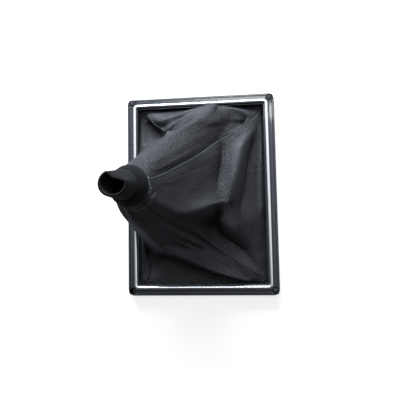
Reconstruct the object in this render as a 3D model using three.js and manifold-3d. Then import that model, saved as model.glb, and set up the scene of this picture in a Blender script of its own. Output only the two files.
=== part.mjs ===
// Gear lever gaiter in its console surround. Millimetres, +X right, +Y to the rear of the surround, +Z up.
// The origin is the middle of the surround's footprint, on the plane of its underside.
import * as THREE from "three";
import { mergeVertices } from "three/addons/utils/BufferGeometryUtils.js";
import Module from "manifold-3d";

const wasm = await Module();
wasm.setup();

// Surround: a hollow moulded rail. Insets are measured inwards from its outer edge.
const SURROUND_WIDTH = 120;
const SURROUND_LENGTH = 160;
const SURROUND_CORNER_RADIUS = 5;
const OPENING_CORNER_RADIUS = 1.6;
const RAIL_WIDTH = 9;
const RIM_HEIGHT = 6.4;
const OUTER_BAND_HEIGHT = 1.8;
const OUTER_DRAFT = 0.42;
const OUTER_EDGE = 0.28;
const RIM_WIDTH = 1.1;
const GROOVE_DEPTH = 0.6;
const GROOVE_SLOPE = 0.4;
const SIDE_WALL = 1.8;
const INNER_WALL = 1.6;
const TOP_WALL = 1.4;
const LIP_WALL = 0.6;
const LAND_WIDTH = 0.5;

// Chrome trim ring, set in a channel of the rail.
const CHROME_WIDTH = 2.5;
const CHROME_HEIGHT = 3.2;
const CHROME_EDGE = 0.6;
const CHROME_RISE = 2.4;

// Screw wells in the four corners. Three hold a cap and the front left one is open.
const WELL_INSET = 3.9;
const CAP_RADIUS = 2.2;
const CAP_HEAD = 2.2;
const CAP_DOME = 0.35;
const WELL_WALL = 0.6;
const SCREW_HOLE_RADIUS = 1.5;
const CAP_STEM_RADIUS = 1.1;
const CAP_STEM_LENGTH = 2.2;
const CAP_STEM_TIP = 0.77;
const CAP_STEM_TAPER = 0.5;

// Retaining frame that clamps the hem, on pins moulded with the surround.
const CLAMP_THICKNESS = 1.2;
const PIN_RADIUS = 0.7;
const PINS_ALONG = 4;
const PINS_ACROSS = 3;

// Leather panels and their hem.
const LEATHER = 1.2;
const HEM_WIDTH = 3.8;
const HEM_CORNER_RADIUS = 3;
const EDGE_EASE = 0.5;
const HEM_TURN = 2;
const SEAM_GAP = 0.3;

// Gap between pieces that meet.
const CLEARANCE = 0.3;

// Neck: the middle of the leather's top edge, and the knitted sleeve on it.
const NECK_X = -0.3125 * SURROUND_WIDTH;
const NECK_Y = 0;
const NECK_Z = 78;
const NECK_LEAN = 15;
const NECK_RADIUS = 11.7;
const CUFF_LENGTH = 3;
const SLEEVE_LENGTH = 21;
const SLEEVE_WALL = 1;
const SLEEVE_HEM = 1.9;
const SLEEVE_DRAW_IN = 3.5;
const SLEEVE_TIP_RADIUS = 9.2;
const RIB_COUNT = 5;
const RIB_PITCH = 1.6;
const RIB_HEIGHT = 0.35;
const MOUTH_STRETCH = 0.12;
const MOUTH_SAG = 4.4;
const MOUTH_SAG_ANGLE = 62;
const MOUTH_SAG_SPREAD = 45;
const FULL_TURN = 360;

// Smoothness of the curved surfaces.
const CORNER_STEPS = 5;
const ROUND_STEPS = 20;
const PIN_STEPS = 10;
const SLEEVE_STEPS = 32;
const RIB_STEPS = 4;
const TAPER_STEPS = 5;
const LIP_STEPS = 4;
const STEPS_ACROSS_FOLD = 3;
const STEPS_ALONG_FOLD = 3;
const SLOPE_STEP = 0.05;

// How far a cutting tool runs past what it cuts, and how near two points are one.
const OVERSHOOT = 1;
const SAME_POINT = 1e-4;

// Levels that follow from the sizes above.
const halfWidth = SURROUND_WIDTH / 2;
const halfLength = SURROUND_LENGTH / 2;
const hemUnder = CLAMP_THICKNESS + CLEARANCE;
const hemTop = hemUnder + LEATHER;
const clampFace = hemTop + CLEARANCE;
const channelInner = RAIL_WIDTH - LIP_WALL;
const chromeInner = channelInner - CLEARANCE;
const chromeOuter = chromeInner - CHROME_WIDTH;
const channelOuter = chromeOuter - CLEARANCE;
const chromeTop = RIM_HEIGHT + CHROME_RISE;
const chromeBottom = chromeTop - CHROME_HEIGHT;
const channelFloor = chromeBottom - CLEARANCE;
const ceiling = channelFloor - TOP_WALL;
const wellRadius = CAP_RADIUS + CLEARANCE;
const bossRadius = wellRadius + WELL_WALL;
const wellFloor = RIM_HEIGHT - CAP_HEAD - CLEARANCE;
const edgeX = halfWidth - RAIL_WIDTH - EDGE_EASE;
const edgeY = halfLength - RAIL_WIDTH - EDGE_EASE;
const clampOuter = SIDE_WALL + CLEARANCE;
const pinInset = (clampOuter + RAIL_WIDTH + EDGE_EASE - HEM_WIDTH) / 2;
const wellPlaces = {
  rear_left: [WELL_INSET - halfWidth, halfLength - WELL_INSET],
  rear_right: [halfWidth - WELL_INSET, halfLength - WELL_INSET],
  front_right: [halfWidth - WELL_INSET, WELL_INSET - halfLength],
  front_left: [WELL_INSET - halfWidth, WELL_INSET - halfLength],
};

const looks = {
  gloss: new THREE.MeshStandardMaterial({ color: 0x2e333a, roughness: 0.2, metalness: 0 }),
  chrome: new THREE.MeshStandardMaterial({ color: 0xdfe4e8, roughness: 0.1, metalness: 1 }),
  leather: new THREE.MeshStandardMaterial({ color: 0x34333b, roughness: 0.6, metalness: 0 }),
  knit: new THREE.MeshStandardMaterial({ color: 0x151518, roughness: 0.9, metalness: 0 }),
  plastic: new THREE.MeshStandardMaterial({ color: 0x1c1d20, roughness: 0.5, metalness: 0 }),
};

// Boolean helpers.
function solidOf(geometry) {
  const bare = geometry.clone();
  bare.deleteAttribute("normal");
  bare.deleteAttribute("uv");
  const merged = mergeVertices(bare, SAME_POINT);
  return new wasm.Manifold(
    new wasm.Mesh({
      numProp: 3,
      vertProperties: new Float32Array(merged.attributes.position.array),
      triVerts: new Uint32Array(merged.index.array),
    }),
  );
}

function geometryOf(solid) {
  const mesh = solid.getMesh();
  const geometry = new THREE.BufferGeometry();
  geometry.setAttribute("position", new THREE.BufferAttribute(mesh.vertProperties, 3));
  geometry.setIndex(new THREE.BufferAttribute(mesh.triVerts, 1));
  geometry.computeVertexNormals();
  return geometry;
}

function cylinder(radius, low, high, [x, y], steps = ROUND_STEPS) {
  const geometry = new THREE.CylinderGeometry(radius, radius, high - low, steps);
  return geometry.rotateX(Math.PI / 2).translate(x, y, (low + high) / 2);
}

// One closed surface from a grid of points that closes on itself along both of its directions.
function ringGeometry(rows) {
  const across = rows[0].length;
  const index = [];
  rows.forEach((row, i) =>
    row.forEach((_, k) => {
      const next = (i + 1) % rows.length;
      const side = (k + 1) % across;
      const [a, b] = [i * across + k, i * across + side];
      const [c, d] = [next * across + side, next * across + k];
      index.push(a, c, b, a, d, c);
    }),
  );
  const geometry = new THREE.BufferGeometry();
  geometry.setAttribute("position", new THREE.Float32BufferAttribute(rows.flat(2), 3));
  geometry.setIndex(index);
  geometry.computeVertexNormals();
  return geometry;
}

// Corner radius of the rail's outlines at an inset, from the outer corner to the opening's.
function cornerRadius(inset) {
  const share = Math.min(inset / RAIL_WIDTH, 1);
  return THREE.MathUtils.lerp(SURROUND_CORNER_RADIUS, OPENING_CORNER_RADIUS, share);
}

// Outline of the rail at an inset, anticlockwise from above.
function railOutline(inset) {
  const radius = cornerRadius(inset);
  const x = halfWidth - inset - radius;
  const y = halfLength - inset - radius;
  const corners = [[x, y], [-x, y], [-x, -y], [x, -y]];
  return corners.flatMap(([cx, cy], quarter) =>
    Array.from({ length: CORNER_STEPS + 1 }, (_, k) => {
      const angle = ((quarter + k / CORNER_STEPS) * Math.PI) / 2;
      return [cx + radius * Math.cos(angle), cy + radius * Math.sin(angle)];
    }),
  );
}

// A section of [inset, height] points, clockwise, carried round the rail.
function railSweep(section) {
  const outlines = section.map(([inset]) => railOutline(inset));
  const rows = outlines[0].map((_, k) => section.map(([, z], i) => [...outlines[i][k], z]));
  return ringGeometry(rows);
}

function pinPlaces() {
  const x = halfWidth - pinInset;
  const y = halfLength - pinInset;
  const spread = (count, half) =>
    Array.from({ length: count }, (_, k) => half * ((2 * (k + 1)) / (count + 1) - 1));
  return [
    ...spread(PINS_ALONG, y).flatMap((at) => [[x, at], [-x, at]]),
    ...spread(PINS_ACROSS, x).flatMap((at) => [[at, y], [at, -y]]),
  ];
}

function surroundFrame() {
  const groove = RIM_HEIGHT - GROOVE_DEPTH;
  const rimOuter = OUTER_DRAFT + OUTER_EDGE;
  const rimInner = rimOuter + RIM_WIDTH;
  const body = solidOf(
    railSweep([
      [0, 0],
      [0, OUTER_BAND_HEIGHT],
      [OUTER_DRAFT, groove],
      [rimOuter, RIM_HEIGHT],
      [rimInner, RIM_HEIGHT],
      [rimInner + GROOVE_SLOPE, groove],
      [channelOuter - LAND_WIDTH - GROOVE_SLOPE, groove],
      [channelOuter - LAND_WIDTH, RIM_HEIGHT],
      [channelOuter, RIM_HEIGHT],
      [channelOuter, channelFloor],
      [channelInner, channelFloor],
      [channelInner, RIM_HEIGHT],
      [RAIL_WIDTH, RIM_HEIGHT],
      [RAIL_WIDTH, clampFace],
      [RAIL_WIDTH - INNER_WALL, clampFace],
      [RAIL_WIDTH - INNER_WALL, ceiling],
      [SIDE_WALL, ceiling],
      [SIDE_WALL, 0],
    ]),
  );
  const wells = Object.values(wellPlaces);
  const pins = pinPlaces();
  const bosses = wells.map((place) => solidOf(cylinder(bossRadius, 0, RIM_HEIGHT, place)));
  const studs = pins.map((place) =>
    solidOf(cylinder(PIN_RADIUS, CLEARANCE, ceiling + TOP_WALL / 2, place, PIN_STEPS)),
  );
  const holes = wells.flatMap((place) => [
    solidOf(cylinder(wellRadius, wellFloor, RIM_HEIGHT + OVERSHOOT, place)),
    solidOf(cylinder(SCREW_HOLE_RADIUS, -OVERSHOOT, wellFloor + OVERSHOOT, place)),
  ]);
  const joined = [...bosses, ...studs].reduce((all, one) => all.add(one), body);
  return geometryOf(holes.reduce((all, one) => all.subtract(one), joined));
}

function chromeRing() {
  const shoulder = chromeTop - CHROME_EDGE;
  const quarter = CHROME_EDGE * (1 - Math.SQRT1_2);
  return railSweep([
    [chromeOuter, chromeBottom],
    [chromeOuter, shoulder],
    [chromeOuter + quarter, chromeTop - quarter],
    [chromeOuter + CHROME_EDGE, chromeTop],
    [chromeInner - CHROME_EDGE, chromeTop],
    [chromeInner - quarter, chromeTop - quarter],
    [chromeInner, shoulder],
    [chromeInner, chromeBottom],
  ]);
}

function retainingFrame() {
  const ring = solidOf(
    railSweep([
      [clampOuter, 0],
      [clampOuter, CLAMP_THICKNESS],
      [RAIL_WIDTH, CLAMP_THICKNESS],
      [RAIL_WIDTH, 0],
    ]),
  );
  const above = CLAMP_THICKNESS + OVERSHOOT;
  const cuts = [
    ...Object.values(wellPlaces).map((place) =>
      solidOf(cylinder(bossRadius + CLEARANCE, -OVERSHOOT, above, place)),
    ),
    ...pinPlaces().map((place) =>
      solidOf(cylinder(PIN_RADIUS + CLEARANCE, -OVERSHOOT, above, place, PIN_STEPS)),
    ),
  ];
  return geometryOf(cuts.reduce((all, one) => all.subtract(one), ring));
}

function screwCap([x, y]) {
  const under = wellFloor + CLEARANCE;
  const tip = under - CAP_STEM_LENGTH;
  const top = RIM_HEIGHT;
  const profile = [
    [0, tip],
    [CAP_STEM_TIP, tip],
    [CAP_STEM_RADIUS, tip + CAP_STEM_TAPER],
    [CAP_STEM_RADIUS, under],
    [CAP_RADIUS, under],
    [CAP_RADIUS, top - CAP_DOME],
    [CAP_RADIUS - CAP_DOME, top],
    [0, top],
  ].map(([r, z]) => new THREE.Vector2(r, z));
  return new THREE.LatheGeometry(profile, ROUND_STEPS).rotateX(Math.PI / 2).translate(x, y, 0);
}

// Fold lines of the gaiter in the order they lie round the opening, clockwise from above. Each
// starts at foot, counted in sides of the opening from its rear left corner, runs through points
// [x, y, z] and ends on the neck at the angle neck, in degrees from +X towards +Y.
const FOLDS = [
  { name: "rear left seam", foot: 0, neck: 128,
    points: [[-45, 66, 4], [-39, 60, 5], [-31, 53, 6], [-27, 46, 13], [-31, 37, 35], [-41, 20, 59]] },
  { name: "rear pocket", foot: 0.2, neck: 116,
    points: [[-30, 66, 7], [-28, 60, 11], [-23, 55, 11], [-19, 47.5, 17], [-23, 37.5, 40], [-35, 22.5, 63]] },
  { name: "rear flap", foot: 0.42, neck: 104,
    points: [[-8, 68, 9], [-7, 65, 16], [-8, 59, 17], [-10, 50, 28], [-18, 39, 47], [-32, 23, 67]] },
  { name: "rear ridge", foot: 0.58, neck: 92,
    points: [[11, 69, 12], [12, 69, 19], [4, 58.5, 29], [-6, 48, 40], [-18, 36.5, 53], [-31, 21.5, 69.5]] },
  { name: "rear crease", foot: 0.67, neck: 76,
    points: [[16, 69, 12], [16, 66, 18], [14, 55, 26], [2, 46, 36], [-11, 33, 52], [-27, 18.5, 71.5]] },
  { name: "rear right fold", foot: 0.78, neck: 58,
    points: [[29, 68, 8], [27, 65, 14], [24, 55, 15], [8, 44, 31], [-5, 30, 48], [-23, 15, 71]] },
  { name: "rear right pocket", foot: 0.89, neck: 44,
    points: [[40, 66, 6], [37, 62, 10], [33, 55, 9], [12, 42, 27], [-1, 28, 44], [-20, 12, 69]] },
  { name: "rear right seam", foot: 1, neck: 31,
    points: [[45, 62, 6], [39, 56, 10], [31, 49, 14], [15, 39, 24], [2, 26, 41], [-18, 11, 66]] },
  { name: "corner roll", foot: 1.07, neck: 20,
    points: [[47, 54, 6], [43, 50, 10], [36, 44, 15], [20, 35, 22], [5, 23, 38], [-16, 8, 64]] },
  { name: "upper roll", foot: 1.21, neck: 8,
    points: [[46, 37, 7], [40, 34, 11], [31, 30, 22], [20.5, 26, 23.5], [7, 18, 36], [-14, 5, 62]] },
  { name: "middle roll", foot: 1.37, neck: -4,
    points: [[44, 17, 7], [37, 15, 13], [28, 13, 27], [18, 12, 26.5], [6, 8, 38], [-13, 1, 60]] },
  { name: "roll end", foot: 1.53, neck: -17,
    points: [[43, -5, 8], [33, -7, 14], [25, -5, 28], [16, -5, 32], [4, -6, 42], [-12, -6, 59]] },
  { name: "belly pinch", foot: 1.64, neck: -30,
    points: [[43, -22, 9], [32, -22, 16], [20, -13, 27], [12, -12, 36], [3, -15, 46], [-11, -16, 59]] },
  { name: "lower patch", foot: 1.77, neck: -42,
    points: [[43, -38, 7], [31, -33, 13], [19, -25, 20], [9, -25, 16], [-3, -23, 36], [-16, -18, 59]] },
  { name: "lower crease", foot: 1.89, neck: -50,
    points: [[44, -54, 6], [34, -47, 7], [22, -40, 10], [11, -35, 13], [-3, -29, 30], [-17, -20, 57]] },
  { name: "front right seam", foot: 2, neck: -58,
    points: [[45, -66, 5], [39, -61, 8], [31, -56, 10], [19, -48, 12], [2, -37, 18], [-17, -24, 48]] },
  { name: "front corner ridge", foot: 2.12, neck: -70,
    points: [[38, -69, 4], [37, -68, 6], [34, -67, 9], [20, -54, 12], [3, -42, 17], [-18, -27, 47]] },
  { name: "front ridge start", foot: 2.36, neck: -86,
    points: [[14, -67, 4], [12, -63, 7], [9, -59, 19], [5, -50, 16], [-6, -40, 24], [-22, -28, 50]] },
  { name: "front ridge", foot: 2.6, neck: -106,
    points: [[-12, -62, 4], [-11, -55, 9], [-11, -49, 28], [-11, -42, 27], [-17, -35, 38], [-29, -24, 58]] },
  { name: "front ridge top", foot: 2.8, neck: -126,
    points: [[-31, -62, 4], [-28, -50, 6], [-27, -42, 35], [-28, -38, 43], [-31, -32, 51], [-37, -22, 65]] },
  { name: "front left seam", foot: 3, neck: -144,
    points: [[-45, -64, 4], [-42, -53, 5], [-41, -44, 8], [-39, -36, 28], [-40, -29, 46], [-44, -20, 63]] },
  { name: "left front wall", foot: 3.22, neck: -162,
    points: [[-48, -38, 7], [-46, -34, 16], [-45, -30, 28], [-46, -26, 41], [-47, -20, 54], [-49, -13, 66]] },
  { name: "left wall", foot: 3.46, neck: -180,
    points: [[-49, -5, 13], [-49, -5, 24], [-49, -4, 35], [-50, -3, 46], [-50, -2, 56], [-51, -1, 66]] },
  { name: "left rear wall", foot: 3.68, neck: -200,
    points: [[-48, 25, 9], [-46, 25, 19], [-44, 25, 30], [-43.5, 23, 42], [-45, 18.5, 54], [-48.5, 11.5, 66]] },
  { name: "left pocket", foot: 3.84, neck: -218,
    points: [[-47, 46, 5], [-42, 45, 5], [-37, 43, 8], [-35, 38, 23], [-37.5, 28, 42], [-45, 14.5, 61]] },
];
// The opening and neck that the points above were laid out for.
const LAID_OUT = { x: 50.5, y: 70.5, neck: [-37.5, 0, 78] };

const seamFolds = FOLDS.flatMap(({ name }, i) => (name.endsWith("seam") ? [i] : []));

const lean = THREE.MathUtils.degToRad(NECK_LEAN);
const neckMiddle = new THREE.Vector3(NECK_X, NECK_Y, NECK_Z);
const neckAxis = new THREE.Vector3(-Math.sin(lean), 0, Math.cos(lean));
const neckSide = new THREE.Vector3(Math.cos(lean), 0, Math.sin(lean));
const neckRear = new THREE.Vector3(0, 1, 0);
const up = new THREE.Vector3(0, 0, 1);

// A point on the neck's ring of a radius, at an angle and a height along the neck.
function neckPoint(angle, radius, height) {
  return neckMiddle
    .clone()
    .addScaledVector(neckSide, radius * Math.cos(angle))
    .addScaledVector(neckRear, radius * Math.sin(angle))
    .addScaledVector(neckAxis, height);
}

// A point of a rectangle's outline, at a number of sides clockwise from its rear left corner.
function outlinePoint(sides, x, y, z, radius) {
  const side = ((Math.floor(sides) % 4) + 4) % 4;
  const along = 2 * (sides - Math.floor(sides)) - 1;
  const point = [
    [along * x, y],
    [x, -along * y],
    [-along * x, -y],
    [-x, along * y],
  ][side];
  const out = new THREE.Vector3(point[0], point[1], z);
  const [dx, dy] = [Math.abs(point[0]) - (x - radius), Math.abs(point[1]) - (y - radius)];
  if (dx > 0 && dy > 0) {
    const pull = radius / Math.hypot(dx, dy);
    out.x = Math.sign(point[0]) * (x - radius + dx * pull);
    out.y = Math.sign(point[1]) * (y - radius + dy * pull);
  }
  return out;
}

// A laid out point, carried along when the opening or the neck has another size or place.
function placed([x, y, z]) {
  const [neckX, neckY, neckZ] = LAID_OUT.neck;
  const share = (z - hemTop) / (neckZ - hemTop);
  return new THREE.Vector3(
    ((x - neckX * share) * edgeX) / LAID_OUT.x + NECK_X * share,
    ((y - neckY * share) * edgeY) / LAID_OUT.y + NECK_Y * share,
    THREE.MathUtils.lerp(hemTop, NECK_Z, share),
  );
}

const foldLines = FOLDS.map(({ foot, neck, points }) => {
  const angle = THREE.MathUtils.degToRad(neck);
  return [
    outlinePoint(foot, edgeX, edgeY, hemTop, OPENING_CORNER_RADIUS),
    ...points.map(placed),
    neckPoint(angle, NECK_RADIUS, 0),
    neckPoint(angle, NECK_RADIUS, CUFF_LENGTH),
  ];
});
const NECK_ROW = FOLDS[0].points.length + 1;
const CUFF_ROW = NECK_ROW + 1;

// Smooth curve through four points, between the middle two.
function blend([a, b, c, d], t) {
  const out = new THREE.Vector3();
  for (const axis of ["x", "y", "z"]) {
    const slopeB = (c[axis] - a[axis]) / 2;
    const slopeC = (d[axis] - b[axis]) / 2;
    const rise = c[axis] - b[axis];
    const bend = 3 * rise - 2 * slopeB - slopeC + t * (slopeB + slopeC - 2 * rise);
    out[axis] = b[axis] + t * (slopeB + t * bend);
  }
  return out;
}

function alongFold(line, v) {
  const row = Math.min(Math.floor(v), CUFF_ROW - 1);
  const near = [row - 1, row, row + 1, row + 2];
  return blend(near.map((k) => line[THREE.MathUtils.clamp(k, 0, CUFF_ROW)]), v - row);
}

// A value that each fold line holds, carried on evenly from one line to the next.
function between(u, value, ofFullTurn) {
  const fold = Math.floor(u) % FOLDS.length;
  const next = fold + 1 < FOLDS.length ? value(FOLDS[fold + 1]) : ofFullTurn;
  return THREE.MathUtils.lerp(value(FOLDS[fold]), next, u - Math.floor(u));
}

// A smooth loop through the same row of every fold line.
function acrossFolds(u, v) {
  const fold = Math.floor(u);
  const line = (k) => foldLines[(fold + k + foldLines.length) % foldLines.length];
  return blend([-1, 0, 1, 2].map((k) => alongFold(line(k), v)), u - fold);
}

function edgePoint(u, outX, outY, radius) {
  return outlinePoint(between(u, (fold) => fold.foot, 4), outX, outY, hemTop, radius);
}

function ringPoint(u, height) {
  const angle = THREE.MathUtils.degToRad(between(u, (fold) => fold.neck, FOLDS[0].neck - FULL_TURN));
  return neckPoint(angle, NECK_RADIUS, height);
}

// The gaiter's outer surface: u counts fold lines round the opening and v counts rows from the
// opening to the neck. It meets the opening's outline and the neck's circle exactly.
function surfacePoint(u, v) {
  const point = acrossFolds(u, v);
  const atEdge = Math.max(0, 1 - v) ** 2;
  if (atEdge > 0)
    point.addScaledVector(
      edgePoint(u, edgeX, edgeY, OPENING_CORNER_RADIUS).sub(acrossFolds(u, 0)),
      atEdge,
    );
  const atNeck = Math.min(1, Math.max(0, v - NECK_ROW + 1)) ** 2;
  if (atNeck > 0) {
    const height = Math.max(0, v - NECK_ROW) * CUFF_LENGTH;
    point.addScaledVector(ringPoint(u, height).sub(acrossFolds(u, Math.max(v, NECK_ROW))), atNeck);
  }
  return point;
}

function surfaceFrame(u, v) {
  const before = (u - SLOPE_STEP + FOLDS.length) % FOLDS.length;
  const across = surfacePoint(u + SLOPE_STEP, v).sub(surfacePoint(before, v));
  const above = surfacePoint(u, Math.min(v + SLOPE_STEP, CUFF_ROW));
  const along = above.sub(surfacePoint(u, Math.max(v - SLOPE_STEP, 0)));
  const normal = along.clone().cross(across).normalize();
  return { across: across.normalize(), normal };
}

// A panel between two seams: a shell of even thickness with its hem turned out under the rail.
function panel(first, last) {
  const columns = (last - first) * STEPS_ACROSS_FOLD;
  const rows = NECK_ROW * STEPS_ALONG_FOLD + 1;
  const outer = [];
  const inner = [];
  for (let i = 0; i <= columns; i++) {
    const u = first + i / STEPS_ACROSS_FOLD;
    const aside = i === 0 ? SEAM_GAP / 2 : i === columns ? -SEAM_GAP / 2 : 0;
    const hem = edgePoint(u, edgeX + HEM_WIDTH, edgeY + HEM_WIDTH, HEM_CORNER_RADIUS);
    const outerLine = [];
    const innerLine = [];
    for (let j = 0; j <= rows; j++) {
      const v = j < rows ? j / STEPS_ALONG_FOLD : CUFF_ROW;
      const { across, normal } = surfaceFrame(u, v);
      const point = surfacePoint(u, v).addScaledVector(across, aside);
      if (j === 0) {
        normal.addScaledVector(up, HEM_TURN).normalize();
        outerLine.push(hem.addScaledVector(across, aside));
        innerLine.push(hem.clone().setZ(hemUnder));
      }
      outerLine.push(point);
      innerLine.push(point.clone().addScaledVector(normal, -LEATHER));
    }
    outer.push(outerLine);
    inner.push(innerLine);
  }
  const loops = outer.map((line, i) => [...line, ...inner[i].reverse()]);
  return closedStrip(loops);
}

// A solid from equal closed loops of points set one after the other, with both ends filled.
function closedStrip(loops) {
  const across = loops[0].length;
  const half = across / 2;
  const index = [];
  for (let i = 0; i + 1 < loops.length; i++)
    for (let k = 0; k < across; k++) {
      const side = (k + 1) % across;
      const next = across * (i + 1);
      const [a, b, c, d] = [i * across + k, i * across + side, next + side, next + k];
      index.push(a, b, c, a, c, d);
    }
  const end = (loops.length - 1) * across;
  for (let k = 0; k + 1 < half; k++) {
    const [a, b, c, d] = [k, k + 1, across - 2 - k, across - 1 - k];
    index.push(a, c, b, a, d, c);
    index.push(end + a, end + b, end + c, end + a, end + c, end + d);
  }
  const geometry = new THREE.BufferGeometry();
  const places = loops.flat().flatMap((point) => point.toArray());
  geometry.setAttribute("position", new THREE.Float32BufferAttribute(places, 3));
  geometry.setIndex(index);
  geometry.computeVertexNormals();
  return geometry;
}

// Knitted sleeve: ribbed and drawn in above its foot, with a thick hem that sags on one side.
function neckSleeve() {
  const { lerp, degToRad } = THREE.MathUtils;
  const inner = NECK_RADIUS + CLEARANCE;
  const outer = inner + SLEEVE_WALL;
  const foot = CLEARANCE;
  const ribEnd = foot + RIB_COUNT * RIB_PITCH;
  const hemRound = SLEEVE_HEM / 2;
  const lipStart = SLEEVE_LENGTH - hemRound;
  const tipInner = SLEEVE_TIP_RADIUS - SLEEVE_HEM;
  const section = [];
  for (let k = 0; k < RIB_COUNT * RIB_STEPS; k++) {
    const share = k / (RIB_COUNT * RIB_STEPS);
    const rib = RIB_HEIGHT * Math.abs(Math.sin(Math.PI * RIB_COUNT * share));
    section.push([outer - share ** 3 * SLEEVE_DRAW_IN + rib, lerp(foot, ribEnd, share)]);
  }
  for (let k = 0; k < TAPER_STEPS; k++) {
    const share = k / TAPER_STEPS;
    const radius = lerp(outer - SLEEVE_DRAW_IN, SLEEVE_TIP_RADIUS, share * share * (3 - 2 * share));
    section.push([radius, lerp(ribEnd, lipStart, share)]);
  }
  for (let k = 0; k <= LIP_STEPS; k++) {
    const turn = (Math.PI * k) / LIP_STEPS;
    section.push([tipInner + hemRound * (1 + Math.cos(turn)), lipStart + hemRound * Math.sin(turn)]);
  }
  section.push([(inner - SLEEVE_DRAW_IN + tipInner) / 2, (ribEnd + SLEEVE_LENGTH) / 2]);
  section.push([inner - SLEEVE_DRAW_IN, ribEnd]);
  section.push([inner, CUFF_LENGTH + 2 * CLEARANCE]);
  section.push([inner, foot]);
  const sagMiddle = degToRad(MOUTH_SAG_ANGLE);
  const sagSpread = degToRad(MOUTH_SAG_SPREAD);
  const rows = Array.from({ length: SLEEVE_STEPS }, (_, i) => {
    const angle = (2 * Math.PI * i) / SLEEVE_STEPS;
    const off = Math.atan2(Math.sin(angle - sagMiddle), Math.cos(angle - sagMiddle)) / sagSpread;
    return section.map(([radius, height]) => {
      const rise = Math.max(0, (height - ribEnd) / (SLEEVE_LENGTH - ribEnd)) ** 2;
      const sag = new THREE.Vector3(0, MOUTH_SAG * Math.exp(-(off ** 4)) * rise, 0);
      const stretch = 1 + MOUTH_STRETCH * rise * Math.cos(2 * angle);
      return neckPoint(angle, radius * stretch, height).sub(sag).toArray();
    });
  });
  return ringGeometry(rows);
}

const gaiter = new THREE.Group();

function add(name, geometry, material) {
  const mesh = new THREE.Mesh(geometry, material);
  mesh.name = name;
  gaiter.add(mesh);
}

add("surround_frame", surroundFrame(), looks.gloss);
add("chrome_ring", chromeRing(), looks.chrome);
add("retaining_frame", retainingFrame(), looks.plastic);
for (const corner of ["rear_left", "rear_right", "front_right"])
  add(corner + "_cap", screwCap(wellPlaces[corner]), looks.plastic);
["rear", "right", "front", "left"].forEach((side, k) => {
  const last = seamFolds[k + 1] ?? FOLDS.length;
  add(side + "_panel", panel(seamFolds[k], last), looks.leather);
});
add("neck_sleeve", neckSleeve(), looks.knit);

export default gaiter;
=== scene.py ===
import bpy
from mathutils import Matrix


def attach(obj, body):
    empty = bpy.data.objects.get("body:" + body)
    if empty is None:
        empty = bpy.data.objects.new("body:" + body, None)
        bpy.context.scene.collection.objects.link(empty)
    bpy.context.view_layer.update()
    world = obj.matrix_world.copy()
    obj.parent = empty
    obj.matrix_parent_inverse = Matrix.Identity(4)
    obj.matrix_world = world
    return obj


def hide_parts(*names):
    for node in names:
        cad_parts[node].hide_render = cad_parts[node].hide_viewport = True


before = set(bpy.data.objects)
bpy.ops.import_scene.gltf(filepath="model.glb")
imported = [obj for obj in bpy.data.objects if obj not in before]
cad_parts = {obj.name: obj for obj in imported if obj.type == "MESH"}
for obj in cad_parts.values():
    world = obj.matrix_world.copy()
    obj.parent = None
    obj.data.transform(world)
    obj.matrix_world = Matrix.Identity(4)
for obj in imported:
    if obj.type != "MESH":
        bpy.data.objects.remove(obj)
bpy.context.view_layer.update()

import math

import bmesh
import bpy
import numpy as np
from mathutils import Euler, Matrix, Vector, noise

MM = 0.001
TINY = 1e-9
SIDES, FULL_TURN = 4, 360.0
# The most of an edge that one rounded corner takes up.
CORNER_SHARE = 0.48

# Sizes in millimetres. The part's source has them too, apart from small roundings.
HALF_WIDTH, HALF_LENGTH = 60, 80
OUTER_RADIUS, OPENING_RADIUS = 5, 1.6
RAIL_WIDTH = 9
RIM_HEIGHT = 6.4
BAND_HEIGHT = 1.8
DRAFT, DRAFT_TOP = 0.42, 0.7
RIM_WIDTH, GROOVE_DEPTH, GROOVE_SLOPE = 1.1, 0.6, 0.4
SIDE_WALL, INNER_WALL = 1.8, 1.6
LAND_WIDTH = 0.5
CHANNEL_OUTER, CHANNEL_INNER, CHANNEL_FLOOR = 5.3, 8.4, 5.3
CHROME_OUTER, CHROME_INNER, CHROME_BOTTOM, CHROME_TOP = 5.6, 8.1, 5.6, 8.8
CHROME_CROWN, CHROME_EDGE, CHROME_BACK = 0.25, 0.75, 1.4
CEILING, CLAMP_FACE = 3.9, 3.0
WELL_INSET, WELL_RADIUS, BOSS_RADIUS, WELL_FLOOR = 3.9, 2.5, 3.1, 3.9
WELL_EDGE, WELL_EASE, WELL_EASE_DEPTH = 0.22, 0.06, 0.08
SCREW_HOLE_RADIUS = 1.5
CAP_RADIUS, CAP_UNDER, CAP_TOP = 2.2, 4.2, 6.4
CAP_EDGE, CAP_SHOULDER, CAP_EDGE_RISE, CAP_DOME, CAP_DOME_DROP = 0.35, 0.5, 0.28, 0.3, 0.22
STEM_RADIUS, STEM_END, STEM_TIP, STEM_TAPER = 1.1, 2.0, 0.77, 0.5
PIN_RADIUS, PIN_LOW, PIN_HIGH, PIN_INSET = 0.7, 0.3, 4.6, 3.9
PINS_ALONG, PINS_ACROSS = 4, 3
LEATHER = 1.2
EDGE_X, EDGE_Y = 50.5, 70.5
HEM_TOP, HEM_UNDER, HEM_WIDTH, HEM_RADIUS = 2.7, 1.5, 3.8, 3
NECK = Vector((-37.5, 0, 78))
NECK_LEAN = math.radians(15)
NECK_RADIUS, CUFF_LENGTH = 11.7, 3
SLEEVE_FOOT, SLEEVE_LENGTH, SLEEVE_INNER, SLEEVE_WALL, SLEEVE_HEM = 0.3, 21, 12.0, 1.0, 1.9
SLEEVE_DRAW_IN, SLEEVE_TIP = 3.5, 9.2
RIB_COUNT, RIB_PITCH, RIB_HEIGHT = 5, 1.6, 0.35
MOUTH_STRETCH, MOUTH_SAG = 0.12, 4.4
MOUTH_SAG_ANGLE, MOUTH_SAG_SPREAD = math.radians(62), math.radians(45)

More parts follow.
